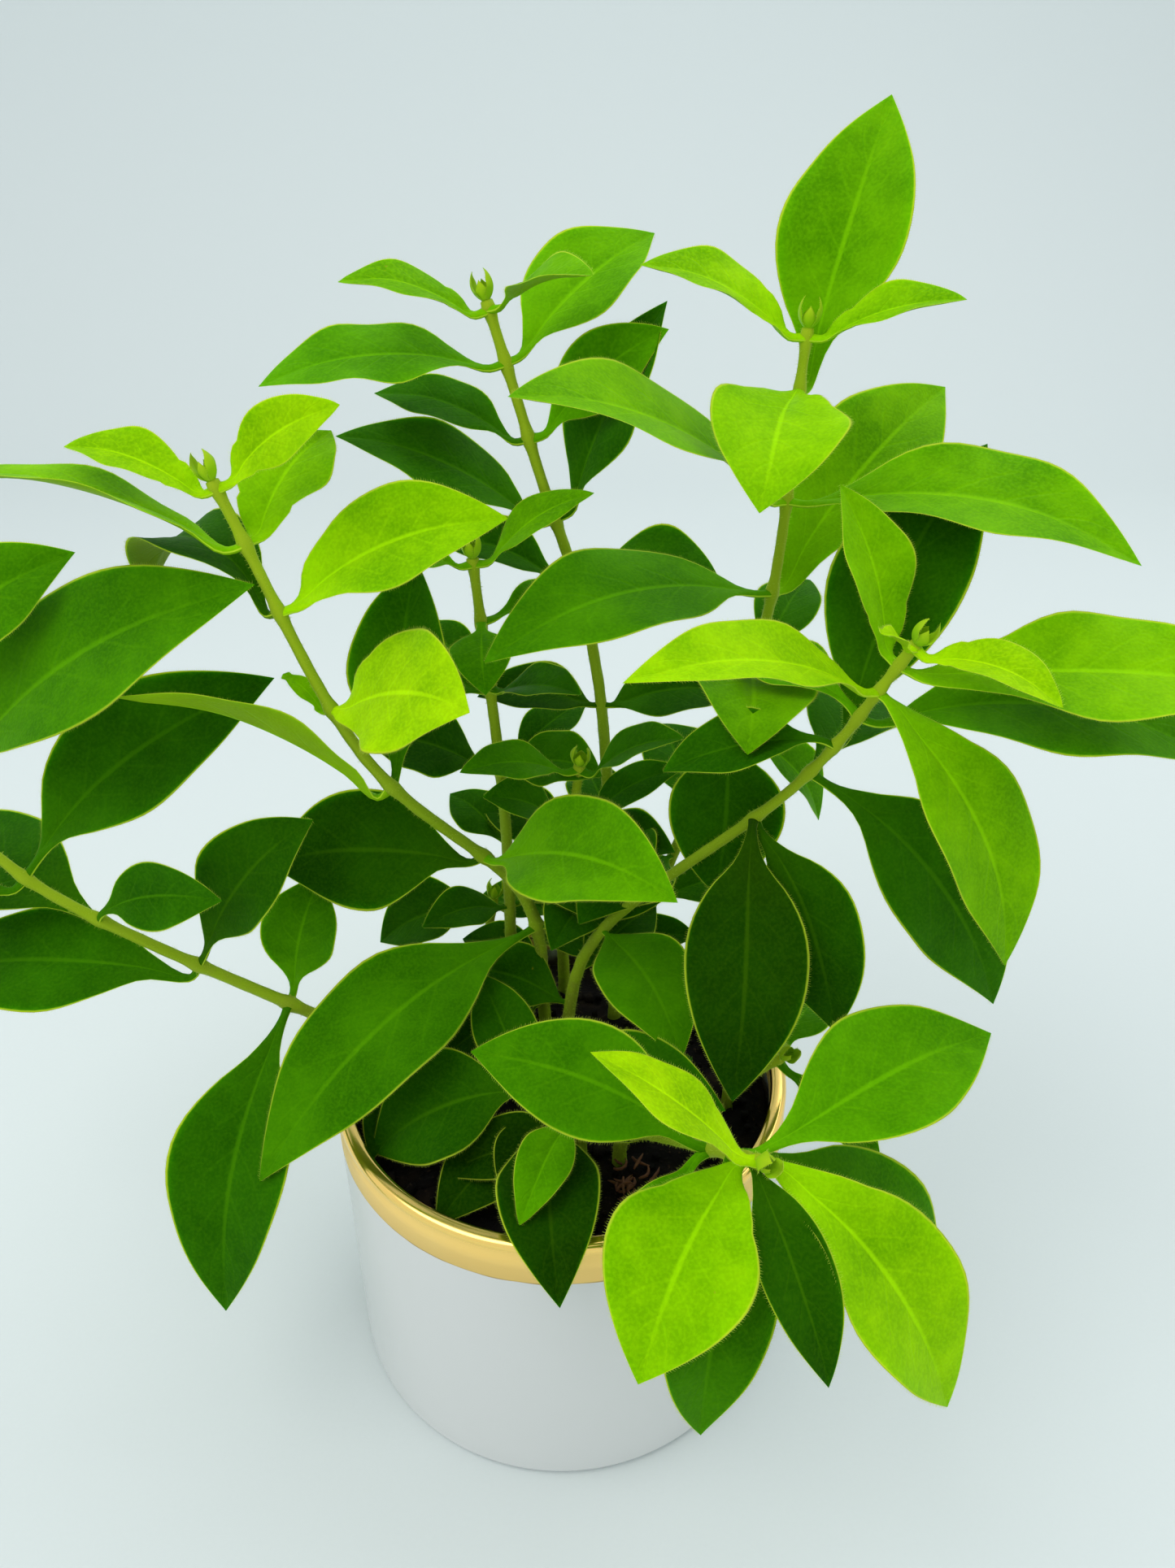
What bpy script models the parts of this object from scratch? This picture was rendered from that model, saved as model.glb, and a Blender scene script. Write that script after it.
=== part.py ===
"""A lipstick plant in a straight round pot.

Twelve shoots rise from the potting mix, and each carries leaves in opposite pairs. The two leaves of
a pair are one piece, joined by a thin half collar that clasps the stem. Metres, +Z up, origin in the
middle of the pot's flat underside. A direction is a clock hour seen from above: 12 points to the
back (+Y), 3 to the right (+X), 6 to the front and 9 to the left.
"""

import math

import bmesh
import bpy
from mathutils import Quaternion, Vector
from mathutils.bvhtree import BVHTree

MM = 0.001
UP = Vector((0, 0, 1))

# Pot and potting mix
POT_RADIUS = 60 * MM
POT_HEIGHT = 90 * MM
POT_WALL = 4 * MM
POT_FLOOR = 6 * MM
POT_FOOT_ROUNDING = 2.5 * MM
POT_LIP_ROUNDING = 1.5 * MM
POT_SIDES = 64
MERGE_DISTANCE = 0.05 * MM
SOIL_LEVEL = 80 * MM
SOIL_FALL_AT_WALL = 2 * MM
SOIL_LEVEL_SHARE = 0.85

# Stems
GAP = 0.3 * MM
STEM_RADIUS = 1.7 * MM
STEM_TIP_RADIUS = 1.1 * MM
STEM_STEP = 9 * MM
STEM_FOOT = SOIL_LEVEL + GAP
STEM_UPRIGHT = 5 * MM

# Leaves
PETIOLE_SHARE = 0.09
PETIOLE_START = 1.2 * MM
PETIOLE_HALF_WIDTH = 1.1 * MM
PETIOLE_HALF_THICKNESS = 0.8 * MM
PETIOLE_TURN = 0.5  # share of the blade's turn that its petiole makes
LEAF_HALF_THICKNESS = 0.6 * MM
LEAF_CUP = 0.12
LIGHT = Vector((0, -0.75, 0.65))  # leaves turn their upper side towards it
TURN_TO_LIGHT = 0.9
LEAF_STATIONS = (0.08, 0.2, 0.35, 0.52, 0.69, 0.85, 0.95)
LEAF_WIDEST_AT = 0.45
COLLAR_HALF_WALL = 0.5 * MM
COLLAR_HALF_HEIGHT = 1.4 * MM
COLLAR_STEP = math.radians(30)
COLLAR_GAP = 0.5 * MM

# Length and width of the blade by size, in millimetres
SIZES = {
    "long": (85, 34),
    "full": (70, 30),
    "large": (60, 28),
    "slim": (60, 19),
    "wide": (50, 32),
    "medium": (48, 24),
    "broad": (40, 29),
    "small": (34, 17),
    "round": (30, 23),
    "young": (28, 13),
    "heart": (21, 15),
    "bud": (12, 5),
}

# How a leaf is held: the rise of its base over level and its fall from base to tip, in degrees
POSTURES = {
    "upright": (75, 25),
    "steep": (70, 40),
    "raised": (50, 36),
    "climbing": (42, 40),
    "lifted": (34, 38),
    "level": (18, 42),
    "flat": (8, 14),
    "arching": (65, 150),
    "drooping": (0, 45),
    "hanging": (-28, 48),
}
ROLLED_UNDER = "arching"  # this posture curls away and shows its underside, so it isn't turned to the light

# A leaf that would touch another turns aside by the first of these that frees it: degrees of rise
# and of direction.
TURNS = [(0, 0)] + [
    (size * rise, size * sweep)
    for size in (6, 12, 18, 26, 34)
    for rise, sweep in ((1, 0), (-1, 0), (0, 1), (0, -1), (1, 1), (-1, 1), (1, -1), (-1, -1))
]

# Each shoot's route, foot to tip, in millimetres, with the foot standing on the potting mix
ROUTES = {
    "left_tall": [(-5, 20), (-10, 20, 130), (-45, 5, 180), (-70, 5, 245)],
    "middle_tall": [(15, 30), (10, 35, 185), (-5, 40, 240), (-15, 40, 275)],
    "middle_short": [(-15, 30), (-15, 30, 150), (-20, 30, 220)],
    "right_tall": [(20, 35), (25, 35, 115), (50, 35, 195), (55, 35, 270)],
    "right_leaning": [(0, 10), (10, 10, 125), (55, 0, 175), (75, -10, 215)],
    "left_low": [(-40, 0), (-55, 0, 100), (-130, 0, 150), (-150, 0, 200)],
    "front_low": [(15, -25), (20, -35, 100), (40, -75, 135)],
    "front_short": [(5, -25), (5, -30, 105)],
    "right_short": [(45, -5), (55, -20, 110)],
    "back_left_short": [(-25, 40), (-20, 40, 115)],
    "middle_low": [(0, 40), (0, 40, 110), (5, 20, 170)],
    "centre_short": [(-5, -20), (-5, -20, 100)],
}

# The pairs of each shoot, foot to tip: how far up the stem, then the two leaves as hour, posture,
# size and the degrees by which the blade is rolled on its midrib.
PAIRS = {
    "front_low": [
        (0.72, (9.5, "lifted", "medium", -20), (7.5, "hanging", "young", 0)),
        (0.85, (6.3, "hanging", "medium", -20), (3, "hanging", "full", -10)),
        (0.92, (7, "drooping", "broad", 0), (2, "flat", "large", 0)),
        (0.99, (9.5, "raised", "small", 30), (3.9, "hanging", "large", 0)),
    ],
    "right_tall": [
        (0.48, (6.3, "hanging", "broad", 0), (3, "hanging", "small", 0)),
        (0.58, (6.3, "level", "broad", 0), (1, "lifted", "small", 0)),
        (0.68, (8, "level", "full", 0), (1.6, "raised", "full", 20)),
        (0.80, (8, "climbing", "full", 0), (4, "level", "full", 0)),
        (0.93, (6.6, "drooping", "broad", 0), (1.2, "upright", "large", 0)),
        (0.99, (9, "climbing", "small", 0), (3.5, "lifted", "young", 0)),
    ],
    "right_leaning": [
        (0.62, (6.3, "hanging", "large", 0), (5, "hanging", "medium", 40)),
        (0.74, (3.5, "hanging", "full", 25), (1, "level", "medium", 0)),
        (0.80, (9, "level", "small", 0), (1.5, "steep", "full", 0)),
        (0.86, (3.3, "level", "full", 0), (11.5, "level", "small", 0)),
        (0.91, (4.4, "hanging", "large", 0), (8, "lifted", "slim", 0)),
        (0.96, (3.4, "flat", "full", 0), (10.5, "upright", "small", 0)),
        (0.995, (4.5, "level", "young", 0), (7.5, "raised", "bud", 0)),
    ],
    "left_tall": [
        (0.19, (7.6, "drooping", "long", 0), (2.5, "lifted", "small", 0)),
        (0.36, (9, "level", "wide", -25), (4.5, "lifted", "large", 20)),
        (0.55, (8.5, "raised", "slim", 60), (12.5, "upright", "medium", 0)),
        (0.69, (4.3, "lifted", "broad", 30), (10, "raised", "bud", 0)),
        (0.83, (10, "arching", "medium", 0), (3, "climbing", "medium", 20)),
        (0.92, (8.8, "lifted", "slim", 30), (1, "raised", "round", 0)),
        (0.99, (9.3, "lifted", "young", 0), (3.3, "raised", "young", 40)),
    ],
    "middle_tall": [
        (0.66, (9.3, "lifted", "small", 0), (3.2, "level", "round", 0)),
        (0.74, (9, "climbing", "medium", 0), (2.5, "upright", "medium", 0)),
        (0.84, (9.5, "lifted", "small", 0), (3, "raised", "small", 40)),
        (0.93, (8.5, "level", "medium", 0), (2, "raised", "broad", 0)),
        (0.99, (8.5, "lifted", "young", 0), (4.5, "lifted", "young", 0)),
    ],
    "middle_short": [
        (0.58, (9, "lifted", "round", 0), (1.5, "lifted", "young", 0)),
        (0.75, (4.5, "lifted", "young", 0), (10.5, "lifted", "young", 0)),
        (0.88, (5.8, "drooping", "heart", 0), (2, "level", "young", 0)),
        (0.99, (8.3, "lifted", "heart", 0), (3, "raised", "young", 0)),
    ],
    "left_low": [
        (0.24, (6.5, "hanging", "full", 0), (1, "upright", "round", 0)),
        (0.39, (3, "steep", "medium", 30), (9, "level", "full", 0)),
        (0.55, (3.5, "lifted", "small", 40), (10, "level", "full", 0)),
        (0.67, (2.4, "raised", "full", 30), (8.4, "level", "medium", 0)),
        (0.84, (2.8, "raised", "long", 20), (8, "drooping", "medium", 0)),
        (0.99, (2.5, "raised", "medium", 30), (9, "raised", "young", 0)),
    ],
    "centre_short": [
        (0.45, (5.8, "level", "medium", 0), (11, "raised", "small", 0)),
        (0.95, (8.7, "drooping", "broad", 0), (3.9, "climbing", "medium", 0)),
    ],
    "front_short": [(0.9, (6.8, "drooping", "young", 0), (2, "level", "young", 0))],
    "right_short": [(0.9, (1, "level", "heart", 0), (4.5, "drooping", "young", 0))],
    "back_left_short": [(0.9, (8.8, "drooping", "round", 0), (3, "lifted", "young", 0))],
    "middle_low": [
        (0.75, (9, "lifted", "heart", 0), (2.2, "raised", "young", 0)),
        (0.98, (8, "lifted", "young", 0), (4, "raised", "young", 0)),
    ],
}

# Linear colour, roughness and metallic value of each material
MATERIALS = {
    "glazed_pot": ((0.78, 0.80, 0.80), 0.2, 0.0),
    "potting_mix": ((0.012, 0.010, 0.008), 0.95, 0.0),
    "stem_green": ((0.16, 0.22, 0.02), 0.55, 0.0),
    "leaf_young": ((0.25, 0.50, 0.01), 0.5, 0.0),
    "leaf_grown": ((0.07, 0.22, 0.01), 0.45, 0.0),
    "leaf_old": ((0.02, 0.07, 0.01), 0.4, 0.0),
}
OLDEST_PAIR_BELOW = 0.5
YOUNG_PAIR_ABOVE = 0.9
SHADED_SHOOTS = ("front_short", "right_short", "back_left_short", "centre_short")


def clear_scene():
    for thing in list(bpy.data.objects):
        bpy.data.objects.remove(thing, do_unlink=True)


def make_material(name):
    colour, roughness, metallic = MATERIALS[name]
    material = bpy.data.materials.new(name)
    material.use_nodes = True
    shader = material.node_tree.nodes["Principled BSDF"]
    shader.inputs["Base Color"].default_value = (*colour, 1)
    shader.inputs["Roughness"].default_value = roughness
    shader.inputs["Metallic"].default_value = metallic
    return material


def add_object(name, data, material, collection):
    thing = bpy.data.objects.new(name, data)
    data.materials.append(material)
    collection.objects.link(thing)
    return thing


def quarter_arc(centre_x, centre_z, radius, start_degrees, steps=4):
    """Points of a quarter turn in the XZ plane, turning clockwise from start_degrees."""
    angles = [math.radians(start_degrees - 90 * i / steps) for i in range(steps + 1)]
    return [(centre_x + radius * math.cos(a), centre_z + radius * math.sin(a)) for a in angles]


def turned(name, profile, material, collection):
    """A closed turned shape from (radius, height) points that run down its outer side."""
    mesh = bpy.data.meshes.new(name)
    points = [(x, 0, z) for x, z in profile]
    mesh.from_pydata(points, [(i, i + 1) for i in range(len(points) - 1)], [])
    thing = add_object(name, mesh, material, collection)
    screw = thing.modifiers.new("Screw", "SCREW")
    screw.steps = screw.render_steps = POT_SIDES
    screw.use_merge_vertices = True
    screw.merge_threshold = MERGE_DISTANCE
    screw.use_smooth_shade = True
    return thing


def make_pot(material, collection):
    inner = POT_RADIUS - POT_WALL
    lip, foot = POT_LIP_ROUNDING, POT_FOOT_ROUNDING
    profile = [(0, POT_FLOOR), (inner, POT_FLOOR)]
    profile += quarter_arc(inner + lip, POT_HEIGHT - lip, lip, 180)
    profile += quarter_arc(POT_RADIUS - lip, POT_HEIGHT - lip, lip, 90)
    profile += quarter_arc(POT_RADIUS - foot, foot, foot, 0)
    profile += [(0, 0)]
    return turned("pot", profile, material, collection)


def make_soil(material, collection):
    """The potting mix fills the pot and falls away a little where it meets the wall."""
    outer = POT_RADIUS - POT_WALL - GAP
    floor = POT_FLOOR + GAP
    profile = [(0, SOIL_LEVEL), (outer * SOIL_LEVEL_SHARE, SOIL_LEVEL)]
    profile += [(outer, SOIL_LEVEL - SOIL_FALL_AT_WALL), (outer, floor), (0, floor)]
    return turned("potting_mix", profile, material, collection)


def smooth_route(points, step):
    """A smooth curve through the points, read about every step, as (place, share of the length)."""
    ends = [points[0] * 2 - points[1]] + points + [points[-1] * 2 - points[-2]]
    places = [points[0]]
    for before, start, end, after in zip(ends, ends[1:], ends[2:], ends[3:]):
        count = max(2, round((end - start).length / step))
        for i in range(1, count + 1):
            t = i / count
            places.append(
                0.5 * (2 * start + (end - before) * t
                       + (2 * before - 5 * start + 4 * end - after) * t ** 2
                       + (3 * start - before - 3 * end + after) * t ** 3)
            )
    run = [0]
    for a, b in zip(places, places[1:]):
        run.append(run[-1] + (b - a).length)
    return [(place, length / run[-1]) for place, length in zip(places, run)]


def stem_route(shoot):
    """The first point of a route has no height: it stands on the potting mix and starts upright."""
    foot, *rest = ROUTES[shoot]
    foot = Vector((foot[0] * MM, foot[1] * MM, STEM_FOOT))
    upright = foot + UP * STEM_UPRIGHT
    route = smooth_route([upright] + [Vector(point) * MM for point in rest], STEM_STEP)
    return [(foot, 0)] + route


def stem_radius(share):
    return STEM_RADIUS + (STEM_TIP_RADIUS - STEM_RADIUS) * share


def make_stem(shoot, route, material, collection):
    curve = bpy.data.curves.new(f"stem_{shoot}", "CURVE")
    curve.dimensions = "3D"
    curve.bevel_depth = 1.0
    curve.bevel_resolution = 1
    curve.use_fill_caps = True
    line = curve.splines.new("POLY")
    line.points.add(len(route) - 1)
    for point, (place, share) in zip(line.points, route):
        point.co = (*place, 1)
        point.radius = stem_radius(share)
    return add_object(f"stem_{shoot}", curve, material, collection)


def along(route, share):
    """The place and the direction of a stem at a share of its length."""
    for (a, low), (b, high) in zip(route, route[1:]):
        if share <= high:
            return a.lerp(b, (share - low) / (high - low)), (b - a).normalized()
    return route[-1][0], (route[-1][0] - route[-2][0]).normalized()


def blade_half_width(share, width):
    """An ovate outline: widest a little nearer the base, drawn out to a point at the tip."""
    if share < LEAF_WIDEST_AT:
        swell = math.sin(math.pi / 2 * share / LEAF_WIDEST_AT)
    else:
        swell = math.cos(math.pi / 2 * (share - LEAF_WIDEST_AT) / (1 - LEAF_WIDEST_AT))
    return max(PETIOLE_HALF_WIDTH, width / 2 * swell)


def leaf_sections(place, axis, radius, leaf, turn):
    """Sections of one leaf from petiole to tip, as (centre, up, half width, half thickness, cup)."""
    hour, posture, size, roll = leaf
    length, width = (value * MM for value in SIZES[size])
    rise, fall = POSTURES[posture]
    rise += turn[0]
    bearing = math.radians(90 - hour * 30 + turn[1])
    heading = Vector((math.cos(bearing), math.sin(bearing), 0))
    level = UP.cross(heading)
    outward = (heading - axis * heading.dot(axis)).normalized()
    reach = radius + GAP + 2 * COLLAR_HALF_WALL + PETIOLE_START
    point = place + outward * reach
    sections = []
    shares = [-PETIOLE_SHARE, *LEAF_STATIONS, 1]
    last = shares[0]
    for share in shares:
        pitch = math.radians(rise - fall * max(0, (last + share) / 2))
        point = point + Quaternion(level, -pitch) @ heading * (share - last) * length
        pitch = math.radians(rise - fall * max(0, share))
        ahead = Quaternion(level, -pitch) @ heading
        turned = PETIOLE_TURN if share <= 0 else 1
        to_light = 0 if posture == ROLLED_UNDER else TURN_TO_LIGHT * turned
        up = Quaternion(level, -pitch) @ UP + LIGHT * to_light
        up = Quaternion(ahead, math.radians(roll) * turned) @ up
        if share <= 0:
            sections.append((point, up, PETIOLE_HALF_WIDTH, PETIOLE_HALF_THICKNESS, 0))
        elif share < 1:
            sections.append((point, up, blade_half_width(share, width), LEAF_HALF_THICKNESS, LEAF_CUP))
        last = share
    return sections, point, outward


def collar_sections(place, axis, radius, start, end):
    """A half collar round the stem from one petiole to the other, clear of the stem."""
    centre_radius = radius + COLLAR_GAP + COLLAR_HALF_WALL
    angle = start.angle(end)
    side = axis if axis.dot(start.cross(end)) >= 0 else -axis
    count = max(2, round(angle / COLLAR_STEP))
    sections = []
    for i in range(count + 1):
        spoke = Quaternion(side, angle * i / count) @ start
        sections.append((place + spoke * centre_radius, axis, COLLAR_HALF_WALL, COLLAR_HALF_HEIGHT, 0))
    return sections


def loft(sections, first_tip=None, last_tip=None):
    """Points and faces of a four-sided tube through the sections, closed to a point at each tip."""
    centres = [section[0] for section in sections]
    before = [first_tip or centres[0]] + centres[:-1]
    after = centres[1:] + [last_tip or centres[-1]]
    points = []
    for (centre, up, half_width, half_thickness, cup), a, b in zip(sections, before, after):
        ahead = (b - a).normalized()
        up = (up - ahead * up.dot(ahead)).normalized()
        side = ahead.cross(up)
        edge = up * cup * half_width
        points += [centre - side * half_width + edge, centre + up * half_thickness]
        points += [centre + side * half_width + edge, centre - up * half_thickness]
    faces = []
    for ring in range(0, len(points) - 4, 4):
        for i in range(4):
            j = (i + 1) % 4
            faces += [(ring + i, ring + j, ring + 4 + j), (ring + i, ring + 4 + j, ring + 4 + i)]
    if first_tip is not None:
        faces += [(i, len(points), (i + 1) % 4) for i in range(4)]
        points.append(first_tip)
    if last_tip is not None:
        ring = 4 * (len(sections) - 1)
        faces += [(ring + i, ring + (i + 1) % 4, len(points)) for i in range(4)]
        points.append(last_tip)
    return points, faces


def is_free(points, faces, neighbours):
    tree = BVHTree.FromPolygons(points, faces, epsilon=GAP)
    return not any(tree.overlap(other) for other in neighbours)


def free_leaf(place, axis, radius, leaf, neighbours):
    """The leaf as it was asked for, or turned aside just enough to be clear of its neighbours."""
    for turn in TURNS:
        sections, tip, outward = leaf_sections(place, axis, radius, leaf, turn)
        if is_free(*loft(sections, last_tip=tip), neighbours):
            return sections, tip, outward
    print("no free place for", leaf)
    return leaf_sections(place, axis, radius, leaf, TURNS[0])


def make_pair(name, route, pair, neighbours, material, collection):
    share, first, second = pair
    place, axis = along(route, share)
    radius = stem_radius(share)
    first_leaf, first_tip, start = free_leaf(place, axis, radius, first, neighbours)
    first_tree = BVHTree.FromPolygons(*loft(first_leaf, last_tip=first_tip))
    second_leaf, second_tip, end = free_leaf(place, axis, radius, second, neighbours + [first_tree])
    collar = collar_sections(place, axis, radius, start, end)
    points, faces = loft(first_leaf[::-1] + collar + second_leaf, first_tip, second_tip)
    mesh = bpy.data.meshes.new(name)
    mesh.from_pydata(points, [], faces)
    mesh.shade_smooth()
    bm = bmesh.new()
    bm.from_mesh(mesh)
    bmesh.ops.recalc_face_normals(bm, faces=bm.faces)
    bm.to_mesh(mesh)
    bm.free()
    add_object(name, mesh, material, collection)
    return BVHTree.FromPolygons(points, faces)


def tree_of(thing):
    bpy.context.view_layer.update()
    graph = bpy.context.evaluated_depsgraph_get()
    mesh = thing.evaluated_get(graph).to_mesh()
    tree = BVHTree.FromPolygons([v.co.copy() for v in mesh.vertices], [p.vertices[:] for p in mesh.polygons])
    thing.evaluated_get(graph).to_mesh_clear()
    return tree


def leaf_material(share, shoot, materials):
    if shoot in SHADED_SHOOTS:
        return materials["leaf_old"]
    if share >= YOUNG_PAIR_ABOVE:
        return materials["leaf_young"]
    if share < OLDEST_PAIR_BELOW:
        return materials["leaf_old"]
    return materials["leaf_grown"]


def main():
    clear_scene()
    collection = bpy.data.collections.new("potted_lipstick_plant")
    bpy.context.scene.collection.children.link(collection)
    materials = {name: make_material(name) for name in MATERIALS}
    solids = [
        make_pot(materials["glazed_pot"], collection),
        make_soil(materials["potting_mix"], collection),
    ]
    routes = {shoot: stem_route(shoot) for shoot in ROUTES}
    for shoot, route in routes.items():
        solids.append(make_stem(shoot, route, materials["stem_green"], collection))
    neighbours = [tree_of(solid) for solid in solids]
    for shoot, pairs in PAIRS.items():
        for number, pair in enumerate(pairs, 1):
            name = f"leaf_pair_{shoot}_{number}"
            material = leaf_material(pair[0], shoot, materials)
            neighbours.append(make_pair(name, routes[shoot], pair, neighbours, material, collection))


main()
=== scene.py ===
import math
import random

import bpy
import numpy as np
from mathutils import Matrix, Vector, noise


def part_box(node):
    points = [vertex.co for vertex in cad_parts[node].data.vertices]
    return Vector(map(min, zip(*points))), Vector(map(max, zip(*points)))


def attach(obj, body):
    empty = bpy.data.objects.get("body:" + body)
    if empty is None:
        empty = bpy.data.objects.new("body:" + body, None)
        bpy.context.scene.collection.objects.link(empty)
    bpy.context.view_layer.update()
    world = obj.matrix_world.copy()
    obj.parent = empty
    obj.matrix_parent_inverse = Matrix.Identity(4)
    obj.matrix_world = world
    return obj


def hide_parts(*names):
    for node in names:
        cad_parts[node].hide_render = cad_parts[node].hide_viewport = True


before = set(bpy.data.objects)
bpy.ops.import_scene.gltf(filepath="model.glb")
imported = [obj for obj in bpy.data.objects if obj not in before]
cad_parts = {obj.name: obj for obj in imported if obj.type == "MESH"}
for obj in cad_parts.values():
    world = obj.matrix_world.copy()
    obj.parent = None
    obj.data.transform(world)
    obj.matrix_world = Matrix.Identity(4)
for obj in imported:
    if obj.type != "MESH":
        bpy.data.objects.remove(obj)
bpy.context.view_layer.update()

MM = 0.001
WELD_DISTANCE = 2e-6
FLAT = 1e-5  # heights closer than this are one level
RANDOM = random.Random(7)

# Camera
CAMERA_PLACE = (0.006, -0.227, 0.307)
CAMERA_TURN = (math.radians(60), 0, math.radians(-0.24))
CAMERA_LENS = 25.94
CAMERA_CLIP = 10 * MM

# Leaf blades: rows from the stem to the tip, columns from the left edge to the right edge.
# Shares run from 0 at the stem to 1 at the tip.
LEAF_RINGS = 8
BLADE_ROWS = 34
PETIOLE_ROWS = 4
HALF_COLUMNS = (1.0, 0.965, 0.9, 0.78, 0.64, 0.5, 0.36, 0.22, 0.1)
COLUMNS = np.array([-v for v in HALF_COLUMNS] + [0.0] + list(HALF_COLUMNS[::-1]))
PETIOLE_END = 0.07
PETIOLE_FOOT_SPREAD = 1.35
BLADE_START = 0.2
BLADE_THICKNESS = 0.55 * MM
LEAST_HALF_WIDTH = 0.12 * MM
NARROW_WIDTH = 3 * MM  # half width below which ribs and grooves fade
PETIOLE_HALF_THICKNESS = 0.85 * MM
MIDRIB_GROOVE = 0.5 * MM
MIDRIB_GROOVE_WIDTH = 0.7 * MM
MIDRIB_RIDGE = 0.55 * MM
MIDRIB_RIDGE_WIDTH = 0.8 * MM
VEIN_SPACING = 6.5 * MM
VEIN_SLANT = 0.95
VEIN_SWELL = 0.22 * MM
VEIN_FIELD = (0.5 * MM, 3 * MM)  # distance from the midrib over which the fields between veins rise
EDGE_WAVE = 0.09
EDGE_WAVES = (1.6, 2.6)
EDGE_WAVE_SHIFT = (-0.5, 0.5)
WAVE_FADE = (0.6, 0.97)
FOLD = (0.06, 0.34)  # least and most rise of a blade's halves from the midrib, over their width
TIP_CURL = (-0.01, 0.04)  # least and most drop of the tip, over the length
TIP_CURL_START = 0.55
SWAY = 0.018
TONE_SPREAD = 0.25
YOUNG_TONE = 6  # leaves this bright taper almost down to the stem, with hardly any stalk
YOUNG_WING = 0.62
WING_END = 0.3

# Small leaves, which have no solid to read
WIDEST_AT = 0.45
TURN_TO_FRONT = np.array([0, -0.65, 0.55])
OUTLINE_SHARES = np.array([0, 0.08, 0.2, 0.35, 0.52, 0.69, 0.85, 0.95, 1])
STALK_HALF_WIDTH = 0.8 * MM
STALK_START = 3 * MM

# Hairs
EDGE_HAIR_STEP = 0.5 * MM
HAIR_LENGTH = 0.7 * MM
HAIR_RADIUS = 0.035 * MM
HAIR_LENGTHS = (0.7, 1.25)  # least and most, times the usual length
HAIR_COLOUR = (0.62, 0.80, 0.08)
EDGE_HAIR_LIFT = 0.25
EDGE_HAIR_SPREAD = (-0.35, 0.35)
STEM_HAIR_STEP = 0.22 * MM
STEM_HAIR_ROWS = 2

# Stems
SLICE_STEP = 3 * MM
STEM_REACH = 3.5 * MM  # farthest from the centre line that the stem's own surface can be
STEM_SIDES = 14
STEM_STEP = 1.5 * MM
ROOT_DEPTH = 4 * MM
ROOT_FLARE = 1.25
NODE_SWELL = 0.4
NODE_SWELL_LENGTH = 2.2 * MM
STEM_RIBS = 4
STEM_RIB_HEIGHT = 0.05
STEM_RIPPLE_HEIGHT = 0.02
STEM_RIPPLE_RATE = 900
STEM_TIP_CAP = 0.6 * MM
STEM_COLOUR = (0.22, 0.36, 0.008)
BUD_LEAVES = ((7 * MM, 4.2 * MM), (5 * MM, 3 * MM))  # length and width, outer pair first
BUD_OPENING = 0.3
BUD_TONE = 8

# Pot and potting mix
POT_SIDES = 160
GOLD_BAND = 12 * MM
GOLD_INSIDE = 6.5 * MM
GOLD_FILM = 0.05 * MM
GOLD_EDGE_WAVER = 0.35 * MM
GOLD_INNER_EDGE_WAVER = 0.8 * MM
LIP_SHARE = 0.38  # radius of each side of the lip, over the wall's thickness
FLOOR_BEVEL = 3 * MM
CRUMBS = 420
CRUMB_SIZES = (0.5 * MM, 0.7 * MM, 0.9 * MM, 1.3 * MM)
CRUMB_DEPTH = 0.9 * MM
CRUST_RINGS = 46
CRUST_SIDES = 150
CRUST_DROP = 1.2 * MM
CRUST_EDGE_DROP = 2 * MM
CRUST_LUMPS = 1.5 * MM
CRUST_LUMP_SCALE = 140
CRUST_DEPTH = 14 * MM
FIBRES = 20
FIBRE_MIDDLE = (19 * MM, -31 * MM)
FIBRE_SPREAD = 3.2 * MM
FIBRE_STEP = 1.1 * MM
FIBRE_RADII = (0.25 * MM, 0.4 * MM, 0.45 * MM, 0.4 * MM, 0.3 * MM, 0.1 * MM)

# Tone of the left and the right leaf of each pair, foot to tip of the shoot: 0 is darkest, 9 brightest;
# partly the leaf's age, partly painted shade that darkens leaves deep in the plant and under others
TONES = {
    "front_low": [(4, 5), (3.5, 4), (7, 5), (8, 7)],
    "right_tall": [(2.5, 5), (6, 3.5), (4.5, 6), (6, 5.5), (7, 5.5), (7, 7)],
    "right_leaning": [(0.5, 1.5), (3, 2.5), (2.5, 2.5), (5, 4.5), (7.5, 6), (6, 6), (8, 8)],
    "left_tall": [(3.5, 2.5), (1.5, 5.5), (6, 3.5), (6, 8), (2, 7), (6, 6.5), (7.5, 7.5)],
    "middle_tall": [(3, 3), (3, 2.5), (3, 4.5), (5, 5.5), (6, 5.5)],
    "middle_short": [(1.5, 2.5), (3, 3), (5, 4.5), (5.5, 5.5)],
    "left_low": [(2.5, 4), (3, 1.5), (2, 3), (3, 3), (4, 4), (5, 4.5)],
    "centre_short": [(2, 0.5), (2, 2)],
    "front_short": [(5, 2)],
    "right_short": [(4, 3.5)],
    "back_left_short": [(1.5, 3)],
    "middle_low": [(3.5, 3), (4, 3.5)],
}
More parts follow.
